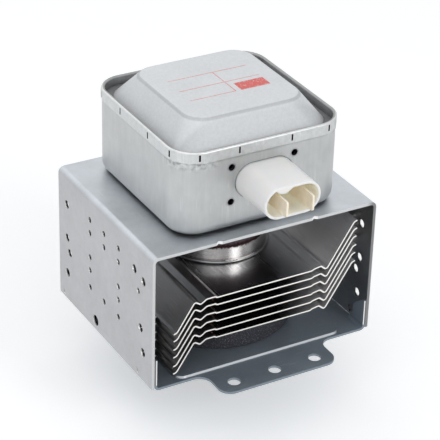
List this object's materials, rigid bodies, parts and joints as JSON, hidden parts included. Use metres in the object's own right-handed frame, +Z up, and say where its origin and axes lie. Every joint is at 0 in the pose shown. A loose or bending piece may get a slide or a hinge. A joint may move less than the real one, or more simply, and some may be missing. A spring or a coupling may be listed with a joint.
{
  "type": "magnetron",
  "caption": "Air-cooled magnetron of a microwave oven: folded steel yoke with slanted cooling fins, crimped filter box with connector on top and antenna below the base plate.",
  "frame": {"origin": "On the antenna axis, at the underside of the base plate, which is the mounting face", "axes": "+Z up from the mounting face to the filter box, -Y to the connector, +X to the right seen from the connector"},
  "size_m": [0.0956, 0.114, 0.1266],
  "materials": {
    "zinc_steel": "satin zinc plating",
    "base_steel": "dark satin plating",
    "gasket_mesh": "knitted wire",
    "ferrite": "matt, speckled",
    "copper": "satin",
    "pole_steel": "satin",
    "cup_steel": "satin",
    "fin_aluminium": "glossy rolled sheet",
    "cathode_metal": "matt",
    "alumina": "matt",
    "terminal_metal": "tinned",
    "box_metal": "satin drawn sheet",
    "lid_metal": "satin stamped sheet",
    "rivet_steel": "satin",
    "flange_steel": "satin",
    "capacitor_resin": "cast resin",
    "connector_plastic": "moulded",
    "enamelled_wire": "enamelled copper wire"
  },
  "bodies": {
    "root": {"yoke_frame": "zinc_steel", "base_plate": "base_steel", "rf_gasket": "gasket_mesh", "lower_magnet": "ferrite", "upper_magnet": "ferrite", "anode_cylinder": "copper", "anode_vanes": "copper", "strap_rings": "copper", "lower_pole_piece": "pole_steel", "upper_pole_piece": "pole_steel", "lower_seal_cup": "cup_steel", "upper_seal_cup": "cup_steel", "cooling_fin_1": "fin_aluminium", "cooling_fin_2": "fin_aluminium", "cooling_fin_3": "fin_aluminium", "cooling_fin_4": "fin_aluminium", "cooling_fin_5": "fin_aluminium", "cooling_fin_6": "fin_aluminium", "filament": "cathode_metal", "lower_end_hat": "cathode_metal", "upper_end_hat": "cathode_metal", "cathode_rods": "cathode_metal", "stem_ceramic": "alumina", "stem_terminals": "terminal_metal", "antenna_rod": "copper", "antenna_ceramic": "alumina", "exhaust_tube": "copper", "antenna_cap": "cup_steel", "filter_box": "box_metal", "filter_lid": "lid_metal", "box_rivets": "rivet_steel", "capacitor_flange": "flange_steel", "capacitor_block": "capacitor_resin", "connector_shell": "connector_plastic", "terminal_tab_left": "terminal_metal", "terminal_tab_right": "terminal_metal", "choke_coil_left": "enamelled_wire", "choke_coil_right": "enamelled_wire", "choke_core_left": "ferrite", "choke_core_right": "ferrite"}
  },
  "joints": []
}
